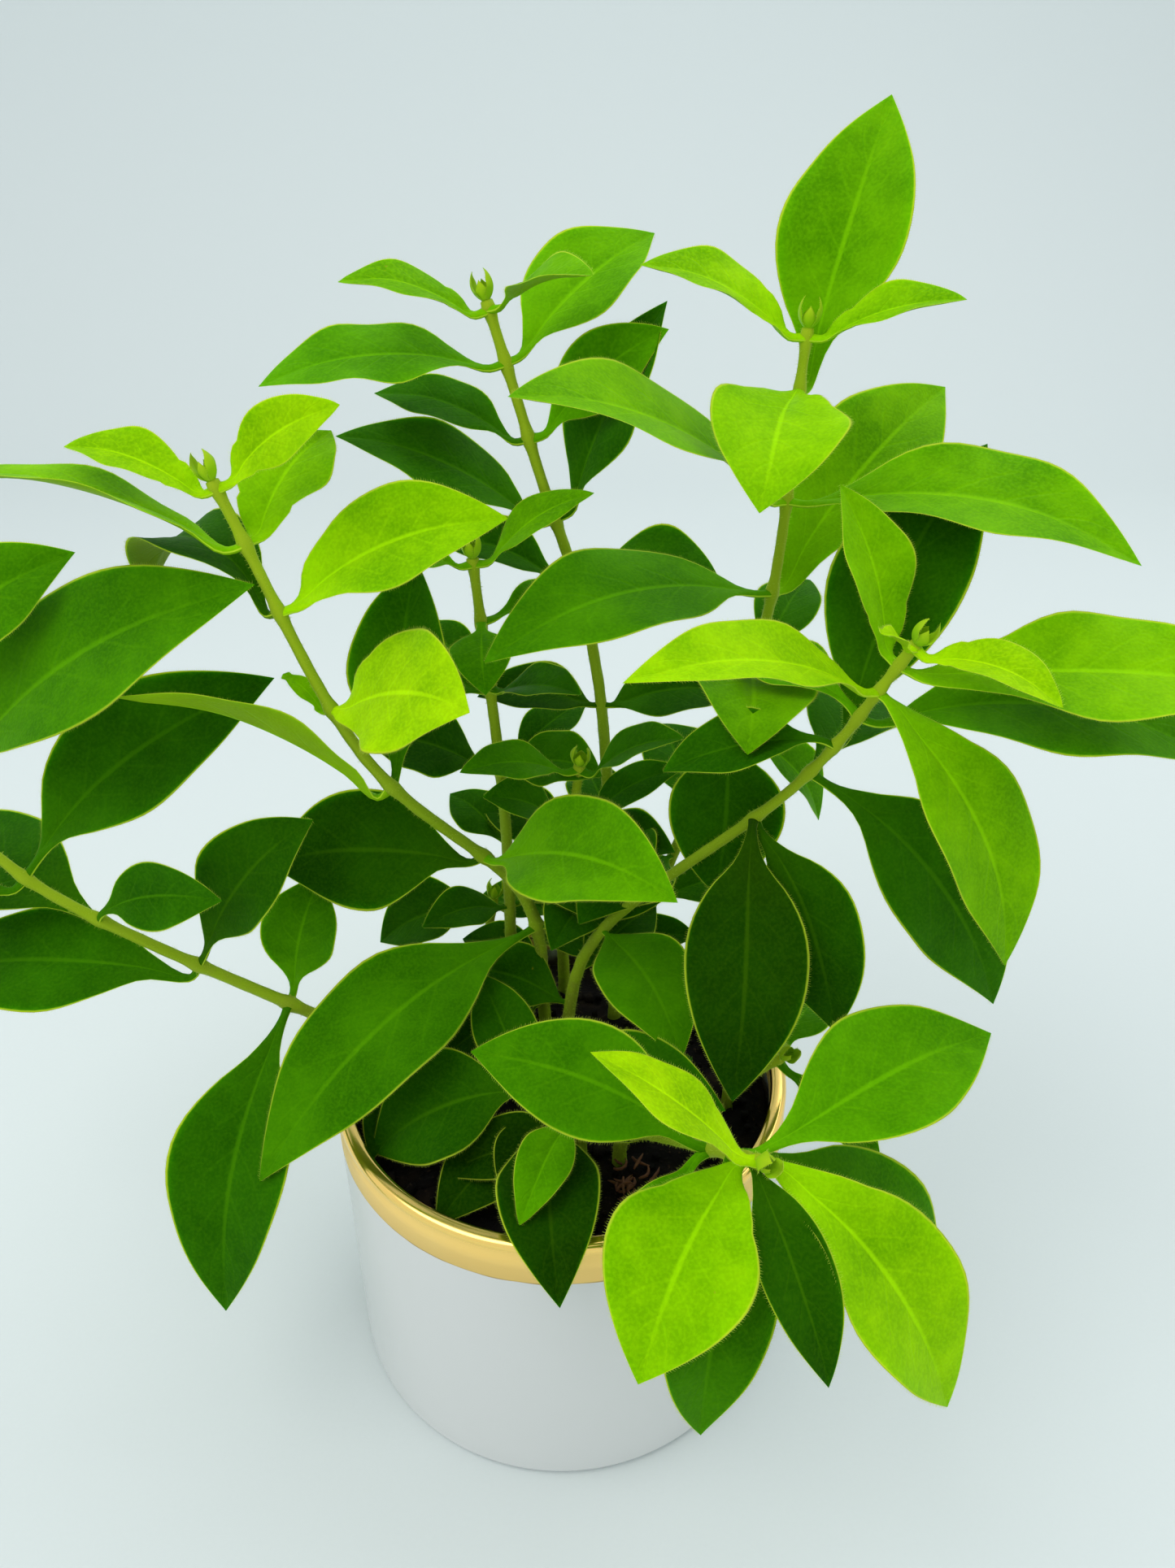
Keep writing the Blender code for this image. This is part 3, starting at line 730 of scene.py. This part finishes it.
def lathe(name, profile, materials, replaces=(), sides=POT_SIDES, wobble=None):
    """A closed turned shape from a loop or an axis-to-axis line of (radius, height) points."""
    points, faces, rings = [], [], []
    for index, (radius, height) in enumerate(profile):
        if radius < 1e-6:
            rings.append([len(points)])
            points.append((0, 0, height))
            continue
        rings.append(list(range(len(points), len(points) + sides)))
        for k in range(sides):
            a = 2 * math.pi * k / sides
            shift = wobble(index, a) if wobble else 0
            points.append((radius * math.cos(a), radius * math.sin(a), height + shift))
    closed = len(rings[0]) > 1
    for lower, upper in zip(rings, rings[1:] + (rings[:1] if closed else [])):
        for k in range(sides):
            j = (k + 1) % sides
            quad = [lower[k % len(lower)], lower[j % len(lower)]]
            quad += [upper[j % len(upper)], upper[k % len(upper)]]
            face = tuple(dict.fromkeys(quad))
            if len(face) > 2:
                faces.append(face[::-1])
    shape = Shape()
    shape.add(points, faces)
    return shape.make(name, materials, replaces)


def turned_profile(node):
    """The (radius, height) corners of a turned node, sorted by height."""
    points, _ = welded(node)
    return sorted({(round(math.hypot(x, y), 5), round(z, 5)) for x, y, z in points})


def arc(centre_x, centre_z, radius, start, steps=8):
    """A quarter circle of (radius, height) points, clockwise from the start angle."""
    angles = [math.radians(start - 90 * i / steps) for i in range(steps + 1)]
    return [(centre_x + radius * math.cos(a), centre_z + radius * math.sin(a)) for a in angles]


def make_pot(materials):
    """The glazed pot, and the gold lustre as a thin film round its rim with slightly uneven edges."""
    corners = turned_profile("pot")
    outer = max(r for r, _ in corners)
    height = max(z for _, z in corners)
    inner = min(r for r, _ in corners)
    floor = min(z for r, z in corners if r == inner)
    foot = outer - max(r for r, z in corners if z < FLAT)
    lip = (outer - inner) * LIP_SHARE
    wall = [(inner, z) for z in np.linspace(floor + FLOOR_BEVEL, height - lip, 12)]
    profile = [(0, floor), (inner - FLOOR_BEVEL, floor)] + wall
    profile += arc(inner + lip, height - lip, lip, 180)[1:]
    profile += arc(outer - lip, height - lip, lip, 90)
    profile += [(outer, z) for z in np.linspace(height - lip, foot, 14)[1:-1]]
    profile += arc(outer - foot, foot, foot, 0) + [(0, 0)]
    lathe("pot_glazed_body", profile, [materials["glaze"]], ["pot"])

    film = GOLD_FILM
    outside = [(inner - film, height - GOLD_INSIDE), (inner - film, height - lip)]
    outside += arc(inner + lip, height - lip, lip + film, 180)[1:]
    outside += arc(outer - lip, height - lip, lip + film, 90)
    outside += [(outer + film, height - lip - 3 * MM), (outer + film, height - GOLD_BAND)]
    inside = [(outer - film, height - GOLD_BAND), (outer - film, height - 2 * lip)]
    inside += [(inner + film, height - 2 * lip), (inner + film, height - GOLD_INSIDE)]
    last_outside = len(outside) - 1

    def ragged(index, angle):
        if index in (last_outside, last_outside + 1):
            spot = Vector((math.cos(angle) * 9, math.sin(angle) * 9, 0))
            return noise.noise(spot) * GOLD_EDGE_WAVER
        if index in (0, len(outside) + len(inside) - 1):
            spot = Vector((math.cos(angle) * 5, math.sin(angle) * 5, 3))
            return noise.noise(spot) * GOLD_INNER_EDGE_WAVER
        return 0

    loop = outside + inside
    lathe("pot_gold_rim", loop, [materials["gold"]], sides=POT_SIDES * 2, wobble=ragged)


def make_soil(materials):
    """A lumpy crust of potting mix with crumbs on it, and a few root fibres."""
    _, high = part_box("potting_mix")
    outer, level = high.x, high.z
    rows, sides = CRUST_RINGS, CRUST_SIDES
    points, faces = [(0, 0, level)], []
    for row in range(1, rows + 1):
        share = row / rows
        for k in range(sides):
            a = 2 * math.pi * k / sides
            x, y = outer * share * math.cos(a), outer * share * math.sin(a)
            lumps = noise.fractal(Vector((x, y, 0)) * CRUST_LUMP_SCALE, 0.9, 2.1, 5) * CRUST_LUMPS
            points.append((x, y, level - CRUST_DROP + lumps - CRUST_EDGE_DROP * share ** 6))
    base = len(points)
    bottom = level - CRUST_DEPTH
    points += [(p[0], p[1], bottom) for p in points[-sides:]] + [(0, 0, bottom)]
    for k in range(sides):
        j = (k + 1) % sides
        faces.append((0, 1 + k, 1 + j))
        faces.append((base + j, base + k, len(points) - 1))
        edge = 1 + (rows - 1) * sides
        faces.append((edge + k, base + k, base + j, edge + j))
        for row in range(rows - 1):
            a, b = 1 + row * sides, 1 + (row + 1) * sides
            faces.append((a + k, b + k, b + j, a + j))
    shape = Shape()
    shape.add(points, faces)
    cube = [(x, y, z) for x in (-1, 1) for y in (-1, 1) for z in (-1, 1)]
    hull = [(0, 1, 3, 2), (4, 6, 7, 5), (0, 4, 5, 1), (2, 3, 7, 6), (0, 2, 6, 4), (1, 5, 7, 3)]
    for _ in range(CRUMBS):
        a, r = RANDOM.uniform(0, 2 * math.pi), outer * 0.96 * math.sqrt(RANDOM.random())
        size = RANDOM.choice(CRUMB_SIZES)
        stretch = [RANDOM.uniform(0.6, 1.5) for _ in range(3)]
        turn = RANDOM.uniform(0, math.pi)
        middle = Vector((r * math.cos(a), r * math.sin(a), level - CRUMB_DEPTH))
        crumb = []
        for corner in cube:
            p = Vector([c * s * RANDOM.uniform(0.6, 1.1) * size for c, s in zip(corner, stretch)])
            x = p.x * math.cos(turn) - p.y * math.sin(turn)
            y = p.x * math.sin(turn) + p.y * math.cos(turn)
            crumb.append(middle + Vector((x, y, p.z)))
        shape.add(crumb, hull)
    shape.make("potting_mix_crust", [materials["soil"]], ["potting_mix"])

    fibres = Shape()
    for _ in range(FIBRES):
        spot = Vector((*FIBRE_MIDDLE, level)) + Vector([RANDOM.gauss(0, FIBRE_SPREAD) for _ in range(3)])
        spot.z = level + RANDOM.uniform(-0.5, 1.2) * MM
        bearing, bend = RANDOM.uniform(0, 2 * math.pi), RANDOM.uniform(-1.3, 1.3)
        line = []
        for i in range(len(FIBRE_RADII)):
            line.append(np.array(spot))
            angle = bearing + bend * i / 2
            ahead = Vector((math.cos(angle), math.sin(angle), RANDOM.uniform(-0.3, 0.35)))
            spot = spot + ahead * FIBRE_STEP
        add_tube(fibres, line, FIBRE_RADII)
    fibres.make("root_crown_fibres", [materials["fibre"]])


# ---------------------------------------------------------------- materials


class Nodes:
    """A short way to write a material's nodes."""

    def __init__(self, name):
        self.material = bpy.data.materials.new(name)
        self.material.use_nodes = True
        self.tree = self.material.node_tree
        self.shader = self.tree.nodes["Principled BSDF"]

    def add(self, kind, **values):
        node = self.tree.nodes.new(f"ShaderNode{kind}")
        for key, value in values.items():
            if hasattr(node, key):
                setattr(node, key, value)
            else:
                self.put(node.inputs[key.replace("_", " ")], value)
        return node

    def put(self, socket, value):
        if isinstance(value, bpy.types.NodeSocket):
            self.tree.links.new(value, socket)
        else:
            socket.default_value = value

    def math(self, operation, a, b=0.5, c=0.5):
        node = self.tree.nodes.new("ShaderNodeMath")
        node.operation = operation
        for socket, value in zip(node.inputs, (a, b, c)):
            self.put(socket, value)
        return node.outputs[0]

    def times(self, a, b):
        return self.math("MULTIPLY", a, b)

    def mix(self, share, a, b, blend="MIX"):
        node = self.tree.nodes.new("ShaderNodeMix")
        node.data_type = "RGBA"
        node.blend_type = blend
        self.put(node.inputs[0], share)
        self.put(node.inputs[6], a)
        self.put(node.inputs[7], b)
        return node.outputs[2]

    def noise(self, scale, detail, where):
        return self.add("TexNoise", Scale=scale, Detail=detail, Vector=where).outputs["Fac"]

    def ramp(self, value, low, high):
        """Nothing where the value is low, rising smoothly to one where it is high."""
        node = self.tree.nodes.new("ShaderNodeMapRange")
        node.interpolation_type = "SMOOTHSTEP"
        for socket, v in zip(node.inputs, (value, low, high)):
            self.put(socket, v)
        return node.outputs[0]

    def fall(self, value, low, high):
        """One where the value is low, falling smoothly to nothing where it is high."""
        return self.math("SUBTRACT", 1.0, self.ramp(value, low, high))

    def bump(self, height, strength, distance):
        node = self.add("Bump", Strength=strength, Distance=distance, Height=height)
        self.put(self.shader.inputs["Normal"], node.outputs[0])

    def set(self, **values):
        for key, value in values.items():
            self.put(self.shader.inputs[key.replace("_", " ")], value)


def blade_material():
    """Velvety leaf flesh: a soft pale midrib, faint side veins, a paler underside lightened further with
    painted light shining through it, and a painted glow along the edge for light caught in its hairs.
    """
    n = Nodes("leaf_blade")
    colour = n.add("Attribute", attribute_name="leaf_colour").outputs["Color"]
    under = n.add("Attribute", attribute_name="underside").outputs["Fac"]
    split = n.add("SeparateXYZ", Vector=n.add("UVMap", uv_map="along_and_across").outputs[0])
    along, across = split.outputs[0], split.outputs[1]
    offset = n.times(n.math("ABSOLUTE", n.math("SUBTRACT", across, 0.5)), 2.0)
    where = n.add("TexCoord").outputs["Object"]
    nap = n.noise(1400, 3, where)
    patches = n.noise(45, 4, where)
    blotches = n.noise(230, 3, where)
    midrib = n.fall(offset, 0.01, 0.06)
    midrib = n.times(midrib, n.fall(along, 0.55, 1.05))
    slant = n.math("SUBTRACT", n.times(along, 7.0), n.times(offset, 1.6))
    slant = n.math("ADD", slant, n.times(patches, 0.5))
    stripe = n.math("ABSOLUTE", n.math("SUBTRACT", n.math("FRACT", slant), 0.5))
    veins = n.fall(stripe, 0.0, 0.09)
    veins = n.times(veins, n.fall(offset, 0.35, 0.8))
    pale = n.mix(1.0, colour, PALE_FLESH[0], "MULTIPLY")
    pale = n.mix(1.0, pale, PALE_FLESH[1], "ADD")
    shade = n.mix(n.ramp(patches, 0.3, 0.72), *PATCH_SHADES)
    flesh = n.mix(1.0, colour, shade, "MULTIPLY")
    shade = n.mix(n.ramp(blotches, 0.35, 0.7), *BLOTCH_SHADES)
    flesh = n.mix(1.0, flesh, shade, "MULTIPLY")
    flesh = n.mix(n.times(n.ramp(nap, 0.35, 0.7), 0.2), flesh, pale)
    spots = n.ramp(n.noise(210, 2, where), 0.79, 0.81)
    flesh = n.mix(n.times(spots, 0.5), flesh, YELLOW_SPOT)
    # The underside's paler colour, partly its own and partly painted light shining through the blade.
    flesh = n.mix(n.times(under, 0.6), flesh, UNDERSIDE_LIT_THROUGH)
    flesh = n.mix(n.times(veins, 0.13), flesh, pale)
    flesh = n.mix(n.times(midrib, 0.5), flesh, pale)
    base = n.fall(along, 0.1, 0.42)
    flesh = n.mix(n.times(base, 0.3), flesh, pale)
    # Painted highlight: the outermost strip of the blade is lit up to stand for light caught in the marginal
    # hairs.
    edge = n.ramp(offset, 0.95, 1.0)
    flesh = n.mix(n.times(edge, 0.85), flesh, PAINTED_RIM_GLOW)
    n.set(Base_Color=flesh, Roughness=0.55, Sheen_Weight=0.04, Sheen_Roughness=0.4)
    n.set(Sheen_Tint=LEAF_SHEEN, Specular_IOR_Level=0.04, Specular_Tint=LEAF_GLOSS)
    n.set(Subsurface_Weight=0.35, Subsurface_Radius=(0.6, 1.0, 0.05), Subsurface_Scale=0.0012)
    n.bump(n.math("ADD", nap, n.times(veins, -0.5)), 0.4, 0.0004)
    return n.material


def hair_material():
    """Fine pale hairs."""
    n = Nodes("plant_hair")
    colour = n.add("Attribute", attribute_name="leaf_colour").outputs["Color"]
    shade = n.noise(400, 2, n.add("TexCoord").outputs["Object"])
    n.set(Base_Color=n.mix(n.times(shade, 0.4), colour, PALE_HAIR), Roughness=0.6)
    n.set(Specular_IOR_Level=0.1)
    return n.material


def stem_material():
    """Yellow-green rind, browner low on the stem, with fine lengthwise streaks."""
    n = Nodes("stem_rind")
    colour = n.add("Attribute", attribute_name="leaf_colour").outputs["Color"]
    split = n.add("SeparateXYZ", Vector=n.add("UVMap", uv_map="along_and_across").outputs[0])
    where = n.add("TexCoord").outputs["Object"]
    streaks = n.noise(260, 4, where)
    low = n.fall(split.outputs[0], 0.05, 0.55)
    brown = n.times(low, n.ramp(streaks, 0.4, 0.65))
    flesh = n.mix(n.times(brown, 0.4), colour, OLD_RIND)
    young = n.times(n.ramp(split.outputs[0], 0.4, 0.95), 0.6)
    flesh = n.mix(young, flesh, YOUNG_RIND)
    flesh = n.mix(n.times(streaks, 0.5), flesh, n.mix(0.5, flesh, RIND_STREAK))
    n.set(Base_Color=flesh, Roughness=0.5, Sheen_Weight=0.12, Sheen_Tint=STEM_SHEEN)
    n.set(Specular_IOR_Level=0.15, Specular_Tint=LEAF_GLOSS)
    n.bump(streaks, 0.3, 0.0003)
    return n.material


def glaze_material():
    """White glaze, greyed inside the mouth and dusted with soil close over the potting mix."""
    n = Nodes("white_glaze")
    where = n.add("TexCoord").outputs["Object"]
    split = n.add("SeparateXYZ", Vector=where)
    x, y, z = split.outputs
    radius = n.math("SQRT", n.math("ADD", n.times(x, x), n.times(y, y)))
    inside = n.fall(radius, *INNER_WALL_RADII)
    tide = n.math("ADD", n.times(n.noise(160, 4, where), 0.012), z)
    stain = n.times(inside, n.ramp(tide, *STAIN_HEIGHTS))
    uneven = n.noise(26, 2, where)
    white = n.mix(n.times(uneven, 0.3), *GLAZE_WHITES)
    white = n.mix(n.times(inside, 0.6), white, GLAZE_INSIDE)
    n.set(Base_Color=n.mix(stain, white, SOIL_STAIN), Roughness=0.22)
    n.set(Coat_Weight=0.4, Coat_Roughness=0.08)
    n.bump(uneven, 0.12, 0.0006)
    return n.material


def gold_material():
    """Gold lustre: satin on the outside, a mirror on the lip, with a darker, worn lower edge."""
    n = Nodes("gold_lustre")
    where = n.add("TexCoord").outputs["Object"]
    z = n.add("SeparateXYZ", Vector=where).outputs[2]
    clouds = n.noise(60, 4, where)
    edge = n.fall(z, *WORN_GOLD_HEIGHTS)
    gold = n.mix(clouds, *GOLDS)
    lip = n.ramp(z, *LIP_HEIGHTS)
    n.set(Base_Color=n.mix(n.times(edge, 0.7), gold, WORN_GOLD))
    n.set(Metallic=n.mix(lip, (0.4, 0.4, 0.4, 1), (1, 1, 1, 1)))
    n.set(Roughness=n.mix(lip, (0.5, 0.5, 0.5, 1), (0.16, 0.16, 0.16, 1)))
    n.bump(clouds, 0.1, 0.0004)
    return n.material


def soil_material():
    """Dark mix with brown grains, taken nearly black to paint in the shade it lies in under the leaves."""
    n = Nodes("dark_potting_mix")
    where = n.add("TexCoord").outputs["Object"]
    grains = n.noise(700, 5, where)
    fibres = n.noise(150, 4, where)
    dark = n.mix(n.ramp(fibres, 0.45, 0.7), *SOIL_DARKS_AND_SHADE)
    n.set(Base_Color=n.mix(n.ramp(grains, 0.62, 0.72), dark, SOIL_GRAIN))
    n.set(Roughness=0.95, Specular_IOR_Level=0.15)
    n.bump(grains, 0.8, 0.001)
    return n.material


def fibre_material():
    n = Nodes("brown_fibre")
    shade = n.noise(500, 3, n.add("TexCoord").outputs["Object"])
    n.set(Base_Color=n.mix(shade, *FIBRE_BROWNS), Roughness=0.8)
    n.bump(shade, 0.5, 0.0005)
    return n.material


def paper_material():
    n = Nodes("studio_paper")
    speck = n.noise(900, 3, n.add("TexCoord").outputs["Object"])
    n.set(Base_Color=n.mix(speck, *PAPERS), Roughness=0.9)
    n.bump(speck, 0.05, 0.0003)
    return n.material


# ---------------------------------------------------------------- stage


def make_stage():
    """A pale sheet that lies flat and rises behind in a wide curve."""
    line = [(SHEET_FRONT, 0), (SHEET_BACK, 0)]
    for a in np.linspace(0, math.pi / 2, 16)[1:]:
        line.append((SHEET_BACK + SHEET_CURVE * math.sin(a), SHEET_CURVE - SHEET_CURVE * math.cos(a)))
    line.append((SHEET_BACK + SHEET_CURVE, SHEET_TOP))
    points = [(x, y, z) for y, z in line for x in (-SHEET_HALF_WIDTH, SHEET_HALF_WIDTH)]
    faces = [(2 * i, 2 * i + 1, 2 * i + 3, 2 * i + 2) for i in range(len(line) - 1)]
    mesh = bpy.data.meshes.new("studio_sheet")
    mesh.from_pydata(points, [], faces)
    mesh.materials.append(paper_material())
    mesh.shade_smooth()
    sheet = bpy.data.objects.new("studio_sheet", mesh)
    bpy.context.scene.collection.objects.link(sheet)


def add_light(name, place, size, energy, colour):
    data = bpy.data.lights.new(name, "AREA")
    data.shape = "DISK"
    data.size = size
    data.energy = energy
    data.color = colour
    light = bpy.data.objects.new(name, data)
    light.location = place
    light.rotation_euler = (Vector(LIGHTS_AIM) - Vector(place)).to_track_quat("-Z", "Y").to_euler()
    bpy.context.scene.collection.objects.link(light)


def make_lights():
    world = bpy.data.worlds.new("soft_room")
    world.use_nodes = True
    background = world.node_tree.nodes["Background"]
    background.inputs["Color"].default_value = ROOM_COLOUR
    background.inputs["Strength"].default_value = ROOM_STRENGTH
    bpy.context.scene.world = world
    for light in LIGHTS:
        add_light(*light)


def make_camera():
    data = bpy.data.cameras.new("camera")
    data.lens = CAMERA_LENS
    data.clip_start = CAMERA_CLIP
    camera = bpy.data.objects.new("camera", data)
    camera.location = CAMERA_PLACE
    camera.rotation_euler = CAMERA_TURN
    bpy.context.scene.collection.objects.link(camera)
    bpy.context.scene.camera = camera


def main():
    bpy.context.scene.view_settings.view_transform = "Standard"
    make_camera()
    make_lights()
    make_stage()
    materials = {"glaze": glaze_material(), "gold": gold_material()}
    materials.update({"soil": soil_material(), "fibre": fibre_material()})
    blade, hair, rind = blade_material(), hair_material(), stem_material()
    shoots = [name[len("stem_"):] for name in sorted(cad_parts) if name.startswith("stem_")]
    stems = {shoot: read_stem(f"stem_{shoot}") for shoot in shoots}
    joints = make_leaves(stems, [blade, hair])
    make_small_leaves(stems, [blade, hair])
    for shoot, stem in stems.items():
        make_stem(shoot, stem, joints[shoot], [rind, hair])
    make_pot(materials)
    make_soil(materials)


main()
